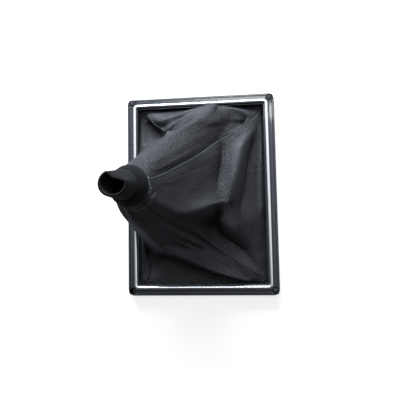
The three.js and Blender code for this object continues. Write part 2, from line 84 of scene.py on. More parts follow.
CORNERS = {
    "rear_left": (-1, 1),
    "rear_right": (1, 1),
    "front_right": (1, -1),
    "front_left": (-1, -1),
}

# The part's turn and shift as the camera sees them, fitted to the surround's corners.
CAMERA_TURN = Euler([math.radians(a) for a in (-4.271, -5.7353, 1.4964)])
CAMERA_SHIFT = Vector((1.504, 4.0853, -325.0505)) * MM
CAMERA_SENSOR, CAMERA_LENS, CAMERA_NEAR = 36, 36, 0.01


def make_camera():
    data = bpy.data.cameras.new("camera")
    data.sensor_width = CAMERA_SENSOR
    data.lens = CAMERA_LENS
    data.clip_start = CAMERA_NEAR
    camera = bpy.data.objects.new("camera", data)
    bpy.context.scene.collection.objects.link(camera)
    turn = CAMERA_TURN.to_matrix().transposed()
    camera.matrix_world = Matrix.Translation(-(turn @ CAMERA_SHIFT)) @ turn.to_4x4()
    bpy.context.scene.camera = camera


def piece(name, points, faces, material, slot=None, replaces=(), sharp=40, uv=None):
    """A shown piece from points in millimetres, riding on the part's one body."""
    mesh = bpy.data.meshes.new(name)
    mesh.from_pydata((np.asarray(points, float) * MM).tolist(), [], faces)
    mesh.validate()
    obj = bpy.data.objects.new(name, mesh)
    bpy.context.scene.collection.objects.link(obj)
    return finish_piece(obj, material, replaces, sharp, uv)


def finish_piece(obj, material, replaces, sharp, uv=None):
    mesh = obj.data
    mesh.materials.clear()
    mesh.materials.append(material)
    mesh.shade_smooth()
    if sharp:
        mesh.set_sharp_from_angle(angle=math.radians(sharp))
    if uv is not None:
        layer = mesh.uv_layers.new(name="weave")
        corner = np.zeros(len(mesh.loops), np.int32)
        mesh.loops.foreach_get("vertex_index", corner)
        layer.data.foreach_set("uv", np.asarray(uv, np.float32)[corner].ravel())
    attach(obj, "root")
    if replaces:
        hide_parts(*replaces)
    return obj


def rounded(corners, radius, steps=4):
    """A closed section with each corner that has a radius rounded off."""
    out = []
    count = len(corners)
    for i, point in enumerate(corners):
        r = radius[i] if hasattr(radius, "__len__") else radius
        here = Vector(point)
        back = Vector(corners[i - 1]) - here
        ahead = Vector(corners[(i + 1) % count]) - here
        if r <= 0:
            out.append(tuple(here))
            continue
        angle = back.angle(ahead)
        shorter = min(back.length, ahead.length)
        reach = min(r / math.tan(angle / 2), CORNER_SHARE * shorter)
        a, b = here + back.normalized() * reach, here + ahead.normalized() * reach
        for k in range(steps + 1):
            t = k / steps
            out.append(tuple(a * (1 - t) ** 2 + here * (2 * t * (1 - t)) + b * t * t))
    return out


def rail_outline(inset, steps):
    share = min(inset / RAIL_WIDTH, 1)
    radius = OUTER_RADIUS + (OPENING_RADIUS - OUTER_RADIUS) * share
    x, y = HALF_WIDTH - inset - radius, HALF_LENGTH - inset - radius
    out = []
    for quarter, (cx, cy) in enumerate(((x, y), (-x, y), (-x, -y), (x, -y))):
        for k in range(steps + 1):
            angle = (quarter + k / steps) * math.pi / 2
            out.append((cx + radius * math.cos(angle), cy + radius * math.sin(angle)))
    return out


def ring_faces(rows, across):
    """Faces of a grid that closes on itself along both of its directions."""
    faces = []
    for i in range(rows):
        for k in range(across):
            j, m = (i + 1) % rows, (k + 1) % across
            faces.append((i * across + k, j * across + k, j * across + m, i * across + m))
    return faces


def rail_sweep(section, steps=14):
    """Points and faces of a section of (inset, height) points carried round the rail."""
    outlines = [rail_outline(inset, steps) for inset, _ in section]
    rows = len(outlines[0])
    points = [(*outlines[i][k], z) for k in range(rows) for i, (_, z) in enumerate(section)]
    return points, ring_faces(rows, len(section))


def lathe(profile, centre, steps=48):
    """Points and faces of a closed turned solid whose profile starts and ends on its axis."""
    points, faces = [], []
    inner = profile[1:-1]
    for k in range(steps):
        angle = 2 * math.pi * k / steps
        for r, z in inner:
            points.append((centre[0] + r * math.cos(angle), centre[1] + r * math.sin(angle), z))
    n = len(inner)
    low, high = len(points), len(points) + 1
    points += [(*centre, profile[0][1]), (*centre, profile[-1][1])]
    for k in range(steps):
        a, b = k * n, (k + 1) % steps * n
        faces.append((low, b, a))
        faces.append((high, a + n - 1, b + n - 1))
        faces += [(a + i, b + i, b + i + 1, a + i + 1) for i in range(n - 1)]
    return points, faces


def joined(parts):
    points, faces = [], []
    for p, f in parts:
        start = len(points)
        points += p
        faces += [tuple(start + i for i in face) for face in f]
    return points, faces


def plain_object(name, points, faces):
    mesh = bpy.data.meshes.new(name)
    mesh.from_pydata((np.asarray(points, float) * MM).tolist(), [], faces)
    obj = bpy.data.objects.new(name, mesh)
    bpy.context.scene.collection.objects.link(obj)
    bm = bmesh.new()
    bm.from_mesh(mesh)
    bmesh.ops.recalc_face_normals(bm, faces=bm.faces)
    bm.to_mesh(mesh)
    bm.free()
    return obj


def boolean(obj, other, operation):
    modifier = obj.modifiers.new("cut", "BOOLEAN")
    modifier.operation = operation
    modifier.solver = "EXACT"
    modifier.object = other
    shown = obj.evaluated_get(bpy.context.evaluated_depsgraph_get())
    made = bpy.data.meshes.new_from_object(shown)
    obj.modifiers.clear()
    obj.data = made
    bpy.data.objects.remove(other)


class Graph:
    """A node tree and short ways to add nodes to it."""

    def __init__(self, tree):
        self.tree = tree

    def node(self, kind, inputs=None, **settings):
        made = self.tree.nodes.new(kind)
        for key, value in settings.items():
            setattr(made, key, value)
        for key, value in (inputs or {}).items():
            if isinstance(value, bpy.types.NodeSocket):
                self.tree.links.new(value, made.inputs[key])
            else:
                made.inputs[key].default_value = value
        return made

    def place(self):
        return self.node("ShaderNodeTexCoord").outputs["Object"]

    def vector(self, operation, a, b=(0, 0, 0)):
        return self.node("ShaderNodeVectorMath", {0: a, 1: b}, operation=operation).outputs[0]

    def span(self, value, low, high, to_low=0.0, to_high=1.0, **settings):
        inputs = {
            "Value": value,
            "From Min": low,
            "From Max": high,
            "To Min": to_low,
            "To Max": to_high,
        }
        return self.node("ShaderNodeMapRange", inputs, **settings).outputs["Result"]

    def maths(self, operation, a, b=0.0):
        return self.node("ShaderNodeMath", {0: a, 1: b}, operation=operation).outputs["Value"]

    def either(self, share, a, b):
        """The shader a where share is 0 and b where it is 1."""
        return self.node("ShaderNodeMixShader", {0: share, 1: a, 2: b}).outputs[0]


class Shader(Graph):
    """A Principled material."""

    def __init__(self, name, **values):
        self.material = bpy.data.materials.new(name)
        self.material.use_nodes = True
        super().__init__(self.material.node_tree)
        self.main = self.tree.nodes["Principled BSDF"]
        for key, value in values.items():
            self.main.inputs[key.replace("_", " ")].default_value = value

    def uv(self):
        return self.node("ShaderNodeUVMap", uv_map="weave").outputs["UV"]

    def noise(self, scale, detail=2, vector=None, distortion=0.0):
        inputs = {
            "Vector": vector or self.place(),
            "Scale": scale,
            "Detail": detail,
            "Distortion": distortion,
        }
        return self.node("ShaderNodeTexNoise", inputs).outputs["Fac"]

    def mix(self, share, a, b):
        made = self.node("ShaderNodeMix", data_type="RGBA")
        sockets = [s for s in made.inputs if s.enabled]
        for socket, value in zip(sockets, (share, a, b)):
            if isinstance(value, bpy.types.NodeSocket):
                self.tree.links.new(value, socket)
            else:
                socket.default_value = value
        return next(s for s in made.outputs if s.enabled)

    def attribute(self, name):
        return self.node("ShaderNodeAttribute", attribute_name=name).outputs["Fac"]

    def bump(self, height, distance, strength=1.0, normal=None):
        inputs = {"Height": height, "Distance": distance, "Strength": strength}
        if normal:
            inputs["Normal"] = normal
        return self.node("ShaderNodeBump", inputs).outputs["Normal"]

    def set(self, **links):
        for key, value in links.items():
            self.tree.links.new(value, self.main.inputs[key.replace("_", " ")])
        return self.material


def rgba(r, g, b):
    return (r, g, b, 1.0)


def gloss_material():
    s = Shader("gloss_plastic", Roughness=0.24, IOR=1.5, Coat_Weight=0.8, Coat_Roughness=0.07)
    dust = s.span(s.noise(900, 3), 0.55, 0.75)
    tone = s.mix(s.noise(60, 3), rgba(0.020, 0.024, 0.033), rgba(0.030, 0.035, 0.046))
    colour = s.mix(s.maths("MULTIPLY", dust, 0.12), tone, rgba(0.16, 0.17, 0.18))
    swirl = s.span(s.noise(700, 4, distortion=0.6), 0.35, 0.75, 0.20, 0.27)
    normal = s.bump(s.noise(1800, 3), 0.000008, 0.5)
    return s.set(Base_Color=colour, Roughness=swirl, Normal=normal)


def chrome_material():
    s = Shader("bright_trim", Metallic=1.0)
    tone = s.mix(s.noise(80, 3), rgba(0.80, 0.83, 0.87), rgba(0.90, 0.92, 0.95))
    haze = s.span(s.noise(500, 4, distortion=0.4), 0.3, 0.8, 0.17, 0.26)
    normal = s.bump(s.noise(2500, 3), 0.000004, 0.5)
    return s.set(Base_Color=tone, Roughness=haze, Normal=normal)


def cap_material():
    s = Shader("cap_plastic", IOR=1.5)
    tone = s.mix(s.noise(150, 3), rgba(0.022, 0.025, 0.033), rgba(0.036, 0.040, 0.050))
    rough = s.span(s.noise(700, 3), 0.3, 0.7, 0.24, 0.40)
    normal = s.bump(s.noise(1600, 3), 0.00002, 0.5)
    return s.set(Base_Color=tone, Roughness=rough, Normal=normal)


def well_material_with_painted_shade():
    """The moulding's plastic where it isn't polished, down in the screw wells, darkened as painted
    shade.
    """
    s = Shader("well_plastic_painted_shade", IOR=1.5, Specular_IOR_Level=0.15)
    # Painted shade: the well's colour is far darker than the surround's plastic.
    tone = s.mix(s.noise(300, 3), rgba(0.003, 0.003, 0.004), rgba(0.007, 0.007, 0.009))
    rough = s.span(s.noise(900, 3), 0.3, 0.7, 0.7, 0.9)
    return s.set(Base_Color=tone, Roughness=rough, Normal=s.bump(s.noise(1800, 3), 0.00004, 0.6))


def backing_material():
    s = Shader("backing_plastic", IOR=1.5)
    tone = s.mix(s.noise(90, 4), rgba(0.012, 0.013, 0.015), rgba(0.022, 0.023, 0.026))
    rough = s.span(s.noise(600, 3), 0.3, 0.7, 0.5, 0.72)
    normal = s.bump(s.noise(1300, 4), 0.00006, 0.6)
    return s.set(Base_Color=tone, Roughness=rough, Normal=normal)


# The leather's grain: cells and their wobble per metre, and the depths of grain and slack.
GRAIN_SCALE, WOBBLE_SCALE, WOBBLE = 640.0, 420.0, (0.0007,) * 3
GRAIN_DEPTH, SLACK_DEPTH = 0.00025, 0.0002


def leather_material():
    s = Shader("leatherette", IOR=1.5, Specular_IOR_Level=0.5)
    place = s.place()
    wobble = s.node("ShaderNodeTexNoise", {"Vector": place, "Scale": WOBBLE_SCALE, "Detail": 2.0})
    bent = s.vector("ADD", place, s.vector("MULTIPLY", wobble.outputs["Color"], WOBBLE))
    cells = s.node(
        "ShaderNodeTexVoronoi",
        {"Vector": bent, "Scale": GRAIN_SCALE, "Randomness": 0.9},
        feature="DISTANCE_TO_EDGE",
    ).outputs["Distance"]
    pebble = s.span(cells, 0.0, 0.30)
    fine = s.noise(2600, 3, place)
    broad = s.noise(70, 4, place)
    grain = s.maths("ADD", pebble, s.maths("MULTIPLY", fine, 0.5))
    dark, light = rgba(0.0205, 0.0205, 0.0250), rgba(0.0315, 0.0315, 0.0385)
    base = s.mix(s.span(broad, 0.35, 0.68), dark, light)
    in_pores = s.maths("MULTIPLY", s.span(cells, 0.0, 0.12, 1.0, 0.0), 0.6)
    pores = s.mix(in_pores, base, rgba(0.008, 0.008, 0.010))
    # Painted shade: the deeper a point lies in a crease, the darker its colour.
    painted_crease_shade = s.maths("MULTIPLY", s.attribute("painted_crease_shade"), 0.85)
    shaded = s.mix(painted_crease_shade, pores, rgba(0.006, 0.006, 0.008))
    # Painted highlight with some real rubbing: seam crowns, ridges and the lip's crown lighten the
    # colour.
    worn_and_lit = s.mix(s.maths("MULTIPLY", s.attribute("wear_and_highlight"), 0.8), shaded, rgba(0.125, 0.13, 0.145))
    specks = s.span(s.noise(1500, 2, place), 0.56, 0.62)
    colour = s.mix(s.maths("MULTIPLY", s.attribute("scuff"), specks), worn_and_lit, rgba(0.30, 0.31, 0.30))
    mottle = s.maths("ADD", broad, s.maths("MULTIPLY", fine, 0.4))
    rough = s.span(mottle, 0.4, 0.95, 0.44, 0.60)
    slack = s.bump(s.noise(240, 2, place), SLACK_DEPTH, 0.5)
    return s.set(Base_Color=colour, Roughness=rough, Normal=s.bump(grain, GRAIN_DEPTH, 1.0, slack))


def knit_material():
    s = Shader(
        "neck_knit", Roughness=0.85, Sheen_Weight=0.12, Sheen_Roughness=0.4, Specular_IOR_Level=0.2
    )
    parts = s.node("ShaderNodeSeparateXYZ", {0: s.uv()})
    wale = s.maths("FRACT", parts.outputs[0])
    aside = s.maths("ABSOLUTE", s.maths("SUBTRACT", wale, 0.5))
    lifted = s.maths("ADD", parts.outputs[1], s.maths("MULTIPLY", aside, 1.1))
    course = s.maths("SINE", s.maths("MULTIPLY", s.maths("FRACT", lifted), math.pi))
    arm = s.maths("SINE", s.maths("MULTIPLY", s.maths("MULTIPLY", aside, 2.0), math.pi))
    loop = s.maths("MULTIPLY", s.maths("ABSOLUTE", course), s.maths("ADD", arm, 0.25))
    fuzz = s.noise(5200, 3)
    height = s.maths("ADD", loop, s.maths("MULTIPLY", fuzz, 0.35))
    tone = s.mix(s.noise(130, 3), rgba(0.010, 0.0105, 0.011), rgba(0.020, 0.0205, 0.022))
    colour = s.mix(s.span(loop, 0.1, 0.9), rgba(0.006, 0.006, 0.007), tone)
    return s.set(Base_Color=colour, Normal=s.bump(height, 0.00012, 0.9))


def thread_material(name, dark, light):
    s = Shader(name, Roughness=0.7, Sheen_Weight=0.2, Specular_IOR_Level=0.35)
    twist = s.node("ShaderNodeTexWave", {"Vector": s.place(), "Scale": 1500.0, "Distortion": 2.0})
    colour = s.mix(twist.outputs["Fac"], dark, light)
    return s.set(Base_Color=colour, Normal=s.bump(twist.outputs["Fac"], 0.00003, 0.6))


# Fold lines: place round the opening in sides from its rear left corner, angle on the neck in
# degrees, six points in millimetres from the opening to the neck.
FOLDS = [
    (0, 128,
     (-45, 66, 4), (-39, 60, 5), (-31, 53, 6), (-27, 46, 13), (-31, 37, 35), (-41, 20, 59)),
    (0.2, 116,
     (-30, 66, 7), (-28, 60, 11), (-23, 55, 11), (-19, 47.5, 17), (-23, 37.5, 40), (-35, 22.5, 63)),
    (0.42, 104,
     (-8, 68, 9), (-7, 65, 16), (-8, 59, 17), (-10, 50, 28), (-18, 39, 47), (-32, 23, 67)),
    (0.58, 92,
     (11, 69, 12), (12, 69, 19), (4, 58.5, 29), (-6, 48, 40), (-18, 36.5, 53), (-31, 21.5, 69.5)),
    (0.67, 76,
     (16, 69, 12), (16, 66, 18), (14, 55, 26), (2, 46, 36), (-11, 33, 52), (-27, 18.5, 71.5)),
    (0.78, 58,
     (29, 68, 8), (27, 65, 14), (24, 55, 15), (8, 44, 31), (-5, 30, 48), (-23, 15, 71)),
    (0.89, 44,
     (40, 66, 6), (37, 62, 10), (33, 55, 9), (12, 42, 27), (-1, 28, 44), (-20, 12, 69)),
    (1, 31,
     (45, 62, 6), (39, 56, 10), (31, 49, 14), (15, 39, 24), (2, 26, 41), (-18, 11, 66)),
    (1.07, 20,
     (47, 54, 6), (43, 50, 10), (36, 44, 15), (20, 35, 22), (5, 23, 38), (-16, 8, 64)),
    (1.21, 8,
     (46, 37, 7), (40, 34, 11), (31, 30, 22), (20.5, 26, 23.5), (7, 18, 36), (-14, 5, 62)),
    (1.37, -4,
     (44, 17, 7), (37, 15, 13), (28, 13, 27), (18, 12, 26.5), (6, 8, 38), (-13, 1, 60)),
    (1.53, -17,
     (43, -5, 8), (33, -7, 14), (25, -5, 28), (16, -5, 32), (4, -6, 42), (-12, -6, 59)),
    (1.64, -30,
     (43, -22, 9), (32, -22, 16), (20, -13, 27), (12, -12, 36), (3, -15, 46), (-11, -16, 59)),
    (1.77, -42,
     (43, -38, 7), (31, -33, 13), (19, -25, 20), (9, -25, 16), (-3, -23, 36), (-16, -18, 59)),
    (1.89, -50,
     (44, -54, 6), (34, -47, 7), (22, -40, 10), (11, -35, 13), (-3, -29, 30), (-17, -20, 57)),
    (2, -58,
     (45, -66, 5), (39, -61, 8), (31, -56, 10), (19, -48, 12), (2, -37, 18), (-17, -24, 48)),
    (2.12, -70,
     (38, -69, 4), (37, -68, 6), (34, -67, 9), (20, -54, 12), (3, -42, 17), (-18, -27, 47)),
    (2.36, -86,
     (14, -67, 4), (12, -63, 7), (9, -59, 19), (5, -50, 16), (-6, -40, 24), (-22, -28, 50)),
    (2.6, -106,
     (-12, -62, 4), (-11, -55, 9), (-11, -49, 28), (-11, -42, 27), (-17, -35, 38), (-29, -24, 58)),
    (2.8, -126,
     (-31, -62, 4), (-28, -50, 6), (-27, -42, 35), (-28, -38, 43), (-31, -32, 51), (-37, -22, 65)),
    (3, -144,
     (-45, -64, 4), (-42, -53, 5), (-41, -44, 8), (-39, -36, 28), (-40, -29, 46), (-44, -20, 63)),
    (3.22, -162,
     (-48, -38, 7), (-46, -34, 16), (-45, -30, 28), (-46, -26, 41), (-47, -20, 54), (-49, -13, 66)),
    (3.46, -180,
     (-49, -5, 13), (-49, -5, 24), (-49, -4, 35), (-50, -3, 46), (-50, -2, 56), (-51, -1, 66)),
    (3.68, -200,
     (-48, 25, 9), (-46, 25, 19), (-44, 25, 30), (-43.5, 23, 42),
      (-45, 18.5, 54), (-48.5, 11.5, 66)),
    (3.84, -218,
     (-47, 46, 5), (-42, 45, 5), (-37, 43, 8), (-35, 38, 23), (-37.5, 28, 42), (-45, 14.5, 61)),
]
SEAMS = (0, 7, 15, 20, 25)
PANELS = ("rear", "right", "front", "left")
NECK_ROW, CUFF_ROW = 7, 8
AXIS = np.array((-math.sin(NECK_LEAN), 0, math.cos(NECK_LEAN)))
SIDE = np.array((math.cos(NECK_LEAN), 0, math.sin(NECK_LEAN)))
REAR = np.array((0.0, 1.0, 0.0))


def neck_points(angle, radius, height):
    """Points round the neck at angles, radii and heights along its axis, all arrays."""
    angle, radius, height = np.broadcast_arrays(angle, radius, height)
    return (
        np.array(NECK)
        + (radius * np.cos(angle))[..., None] * SIDE
        + (radius * np.sin(angle))[..., None] * REAR
        + height[..., None] * AXIS
    )


def outline_points(sides, x, y, z, radius):
    sides = np.asarray(sides, float)
    side = np.floor(sides).astype(int) % SIDES
    along = 2 * (sides - np.floor(sides)) - 1
    px = np.choose(side, [along * x, np.full_like(along, x), -along * x, np.full_like(along, -x)])
    py = np.choose(side, [np.full_like(along, y), -along * y, np.full_like(along, -y), along * y])
    dx, dy = np.abs(px) - (x - radius), np.abs(py) - (y - radius)
    corner = (dx > 0) & (dy > 0)
    pull = np.where(corner, radius / np.maximum(np.hypot(dx, dy), TINY), 1)
    px = np.where(corner, np.sign(px) * (x - radius + dx * pull), px)
    py = np.where(corner, np.sign(py) * (y - radius + dy * pull), py)
    return np.stack([px, py, np.full_like(px, z)], -1)


def fold_net():
    foot = np.array([f[0] for f in FOLDS], float)
    angle = np.radians([f[1] for f in FOLDS])
    lines = np.array([f[2:] for f in FOLDS], float)
    edge = outline_points(foot, EDGE_X, EDGE_Y, HEM_TOP, OPENING_RADIUS)
    ring, cuff = (neck_points(angle, NECK_RADIUS, h) for h in (0.0, float(CUFF_LENGTH)))
    return np.concatenate([edge[:, None], lines, ring[:, None], cuff[:, None]], 1)


NET = fold_net()
FOOT = np.array([f[0] for f in FOLDS] + [float(SIDES)])
ANGLE = np.radians([f[1] for f in FOLDS] + [FOLDS[0][1] - FULL_TURN])


def curve(a, b, c, d, t):
    t = t[..., None]
    slope_b, slope_c, rise = (c - a) / 2, (d - b) / 2, c - b
    bend = 3 * rise - 2 * slope_b - slope_c
    return b + t * (slope_b + t * (bend + t * (slope_b + slope_c - 2 * rise)))


def across_folds(u, v):
    fold = np.floor(u).astype(int)
    row = np.minimum(np.floor(v).astype(int), CUFF_ROW - 1)
    rows = [np.clip(row + k, 0, CUFF_ROW) for k in (-1, 0, 1, 2)]
    lines = []
    for k in (-1, 0, 1, 2):
        f = (fold + k) % len(FOLDS)
        lines.append(curve(*[NET[f, r] for r in rows], v - row))
    return curve(*lines, u - fold)


def even(u, values):
    u = np.mod(u, len(FOLDS))
    fold = np.minimum(np.floor(u).astype(int), len(FOLDS) - 1)
    return values[fold] + (values[fold + 1] - values[fold]) * (u - fold)


def surface(u, v):
    """The gaiter's outer surface, as its source has it: u counts folds and v counts rows."""
    u, v = np.broadcast_arrays(np.asarray(u, float), np.asarray(v, float))
    points = across_folds(u, v)
    at_edge = np.maximum(0, 1 - v) ** 2
    edge = outline_points(even(u, FOOT), EDGE_X, EDGE_Y, HEM_TOP, OPENING_RADIUS)
    points = points + at_edge[..., None] * (edge - across_folds(u, np.zeros_like(v)))
    at_neck = np.clip(v - NECK_ROW + 1, 0, 1) ** 2
    ring = neck_points(even(u, ANGLE), NECK_RADIUS, np.maximum(0, v - NECK_ROW) * CUFF_LENGTH)
    return points + at_neck[..., None] * (ring - across_folds(u, np.maximum(v, NECK_ROW)))


def directions(u, v, step=0.02):
    """Unit vectors out of the surface, and the speed along u."""
    across = surface(u + step, v) - surface(u - step, v)
    along = surface(u, np.minimum(v + step, CUFF_ROW)) - surface(u, np.maximum(v - step, 0))
    normal = np.cross(along, across)
    speed = np.linalg.norm(across, axis=-1)
    normal /= np.maximum(np.linalg.norm(normal, axis=-1), TINY)[..., None]
    return normal, speed / (2 * step)


# Distances from a seam, in millimetres, at which its rolled edge has points.
SEAM_STEPS = (0, 0.04, 0.1, 0.2, 0.35, 0.55, 0.8, 1.1, 1.5, 2.1)
# How far a seam's edge turns down, and over what width: tucked under, and lapping over.
SEAM_DEPTH, SEAM_ROLL = (0.75, 0.45), (0.75, 0.5)
SEAM_CROWN, SEAM_CROWN_AT, SEAM_CROWN_WIDTH = 0.34, 0.7, 0.42
# Seams over which the panel that starts there laps, with a proud and rubbed edge that carries a
# painted highlight.
LAPPED_SEAMS = (0, 7)
EDGE_COLUMNS = len(SEAM_STEPS)
# How far, in folds, each seam stands off its fold line: (row, folds) pairs.
REAR_LEFT_DRIFT = ((0.3, 0), (1, 0.15), (2, 0.1), (3, 0.05), (4, 0.3), (5, 0))
SEAM_DRIFT = {
    0: REAR_LEFT_DRIFT,
    7: ((5, 0), (6, 0.3), (7, 0.9)),
    20: ((0, -0.08), (1, -0.2), (2, -0.02), (3, -0.3), (3.7, -0.45), (4.5, -0.2), (5.5, 0)),
    25: REAR_LEFT_DRIFT,
}
ROWS_PER_STEP = 15
COLUMNS_PER_FOLD = {"rear": 14, "right": 14, "front": 18, "left": 18}
# Shares at which the cuff in the sleeve and the hem under the rail have rows.
CUFF_SHARES, HEM_SHARES = (0.33, 0.66, 1), (1.0, 0.66, 0.33)
# Rows over which relief fades out at the opening and at the neck, and millimetres beside a seam.
FADE_FOOT, FADE_NECK, FADE_SEAM = 0.6, 0.8, 6
# The share of a seam's roll that there is at the opening.
SEAM_AT_FOOT = 0.25
# Rows at the opening over which the leather's inner side swings under the outer, and how much.
TUCK_ROWS, TUCK = 0.3, 2.0

# The leather's turned lip round the sleeve's foot: first row, steps, radius, height and width.
LIP_ROW, LIP_STEPS = 6.6, 26
LIP_RADIUS, LIP_HEIGHT, LIP_WIDTH = 14.7, 0.45, 0.5


def lip_of(points):
    """How near the points are to the lip's crown, 1 on it."""
    aside = points - np.array(NECK)
    radius = np.linalg.norm(aside - (aside @ AXIS)[:, None] * AXIS, axis=1)
    return np.exp(-(((radius - LIP_RADIUS) / LIP_WIDTH) ** 2))


def seam_at(seam, v):
    rows, folds = zip(*SEAM_DRIFT.get(seam, ((0, 0),)))
    return seam + np.interp(v, rows, folds)


def panel_grid(name, first, last):
    """The (u, v) of a panel's points: even inside, and at set distances beside its seams."""
    coarse = np.linspace(0, LIP_ROW, int(LIP_ROW * ROWS_PER_STEP), endpoint=False)
    fine = np.linspace(LIP_ROW, NECK_ROW, LIP_STEPS + 1)
    v = np.concatenate([coarse, fine, NECK_ROW + np.array(CUFF_SHARES)])
    left, right = seam_at(first, v), seam_at(last, v)
    offsets = np.array(SEAM_STEPS)
    start = left[:, None] + offsets / directions(left, v)[1][:, None]
    end = right[:, None] - offsets[::-1] / directions(right, v)[1][:, None]
    inside = (last - first) * COLUMNS_PER_FOLD[name]
    t = np.linspace(0, 1, inside + 2)[1:-1]
    middle = start[:, -1:] + (end[:, :1] - start[:, -1:]) * t
    u = np.concatenate([start, middle, end], 1)
    return u, np.repeat(v[:, None], u.shape[1], 1)


def rolled(distance, laps):
    """How a seam's edge turns in: one that laps over stands proud, and one under it tucks in."""
    depth, roll = np.array(SEAM_DEPTH)[laps], np.array(SEAM_ROLL)[laps]
    inside = np.clip(1 - distance / roll, 0, 1)
    crown = SEAM_CROWN * np.exp(-(((distance - SEAM_CROWN_AT) / SEAM_CROWN_WIDTH) ** 2))
    return crown * laps - depth * (1 - np.sqrt(np.maximum(0, 1 - inside**2)))


# Slack in the leather: height in millimetres, how often it comes, and a place in the noise.
LONG_WAVE = (0.25, (1.6, 0.55), 3.1)
CROSS_WAVE = (0.45, 0.09, 7)
PUCKER = (0.16, 0.28, 5)
GATHER = (0.2, (6.5, 0.8), 11.3)
GATHER_ROWS = 0.3


def wrinkle(points, u, v):
    """Height of the leather's slack waves and small puckers."""
    long_high, (long_u, long_v), long_at = LONG_WAVE
    cross_high, cross, cross_at = CROSS_WAVE
    pucker_high, tight, pucker_at = PUCKER
    gather_high, (gather_u, gather_v), gather_at = GATHER
    out = np.zeros(len(points))
    for i, ((x, y, z), a, b) in enumerate(zip(points, u, v)):
        near_neck = math.exp(-((NECK_ROW - b) / GATHER_ROWS) ** 2)
        out[i] = (
            long_high * noise.noise((a * long_u, b * long_v, long_at))
            + cross_high * noise.noise((x * cross, y * cross, z * cross + cross_at))
            + pucker_high * noise.noise((x * tight + pucker_at, y * tight, z * tight))
            + gather_high * (noise.noise((a * gather_u, b * gather_v, gather_at)) * near_neck)
        )
    return out


# Creases and ridges: height in millimetres, width on either side, then (u, v) points.
CREASES = [
    (-0.9, 3.5, 1.8, [(4.2, 2.2), (4.6, 2.9), (5.6, 3.5), (6.8, 3.95)]),
    (-2.6, 4.0, 1.6, [(7.1, 4.0), (8, 4.05), (9, 4.1), (10, 4.1), (10.6, 4.1)]),
    (1.6, 5.0, 5.0, [(7.7, 3.1), (8.5, 3.0), (9.5, 2.95), (10.6, 2.95)]),
    (-2.8, 2.0, 3.6, [(8.4, 1.6), (9, 1.75), (9.6, 1.85), (10.2, 1.9), (11, 2.05), (11.5, 2.1)]),
    (2.0, 4.0, 4.0, [(4.9, 2.8), (5.6, 2.7), (6.2, 2.6)]),
    (0.9, 1.4, 2.0, [(4.3, 1.75), (5, 1.85), (5.8, 1.9), (6.5, 1.95)]),
    (0.8, 1.0, 1.6, [(0.8, 2.1), (1.3, 2.0), (2.0, 2.0), (2.6, 2.0), (2.9, 1.9)]),
    (3.4, 4.4, 4.4, [(0.5, 3.3), (1.1, 3.3), (1.7, 3.1), (2.3, 2.9), (2.9, 2.6)]),
    (3.4, 2.2, 6.5, [(0.12, 0.8), (0.12, 1.8), (0.1, 2.7), (0.2, 3.6), (0.45, 4.6)]),
    (2.0, 2.2, 4.0, [(8.0, 0.6), (9.0, 0.6), (10.0, 0.6), (11.0, 0.6), (12.0, 0.6)]),
    (1.6, 3.0, 3.0, [(20.5, 0.6), (21.5, 0.6), (22.5, 0.6), (23.5, 0.6), (24.6, 0.6)]),
    (-2.5, 4.8, 5.5, [(24.8, 1.3), (24.7, 2.2), (24.55, 2.9), (24.4, 3.8)]),
    (-1.4, 7.0, 7.0, [(13.0, 4.9), (13.4, 4.5), (13.8, 4.1), (14.1, 3.8)]),
    (-1.8, 8.0, 8.0, [(19.4, 2.2), (18.9, 1.5), (18.2, 1.3), (17.4, 1.2)]),
    (-0.8, 2.0, 2.0, [(6.95, 3.7), (6.95, 4.8), (7.05, 5.6), (7.2, 6.3)]),
    (1.5, 1.3, 1.0, [(11.1, 3.2), (11.8, 3.15), (12.4, 3.15), (12.9, 3.2)]),
    (-1.8, 1.8, 1.6, [(11.1, 2.75), (11.5, 2.75), (11.9, 2.65)]),
    (-1.6, 2.6, 2.6, [(11.9, 3.65), (12.5, 3.6), (13.1, 3.6)]),
    (3.6, 5.5, 5.5, [(12.5, 3.4), (12.9, 2.9), (13.0, 2.3)]),
    (-1.8, 2.6, 1.4, [(13.1, 3.65), (13.6, 3.4), (13.8, 2.9), (13.85, 2.4), (13.9, 1.9)]),
    (0.6, 1.0, 1.4, [(19.3, 3.6), (18.8, 3.2), (18.2, 3.1), (17.6, 3.1), (17, 3.05), (16.5, 3)]),
    (0.5, 3.5, 3.5, [(10.8, 4.2), (11.2, 4.7), (11.5, 5.2)]),
]
# Depth in millimetres at which a crease's painted shade is at its darkest.
FULL_CREASE = 2.5
# Points along a crease, how its sides fall, and how its height runs out at its ends.
CREASE_POINTS, CREASE_FALL, CREASE_END, END_FALL = 60, 1.5, 0.02, 0.6


def crease_field(points, normals):
    """Height of the creases and ridges at points, and how deep in a crease each lies, which sets
    its painted shade.
    """
    height, depth = np.zeros(len(points)), np.zeros(len(points))
    for rise, width_a, width_b, path in CREASES:
        path = np.array(path, float)
        t = np.linspace(0, len(path) - 1, CREASE_POINTS)
        k = np.minimum(t.astype(int), len(path) - 2)
        uv = path[k] + (path[k + 1] - path[k]) * (t - k)[:, None]
        line = surface(uv[:, 0], uv[:, 1])
        gap = np.linalg.norm(points[:, None] - line[None], axis=-1)
        near = gap.argmin(1)
        distance = gap[np.arange(len(points)), near]
        ahead = np.gradient(line, axis=0)[near]
        side = np.einsum("ij,ij->i", np.cross(ahead, normals), points - line[near])
        width = np.where(side > 0, width_a, width_b)
        along = np.clip(near / (CREASE_POINTS - 1), CREASE_END, 1 - CREASE_END)
        ends = np.sin(np.pi * along) ** END_FALL
        shape = np.exp(-((distance / width) ** CREASE_FALL)) * ends
        height += rise * shape
        depth = np.maximum(depth, -rise / FULL_CREASE * shape)
    return height, np.clip(depth, 0, 1)


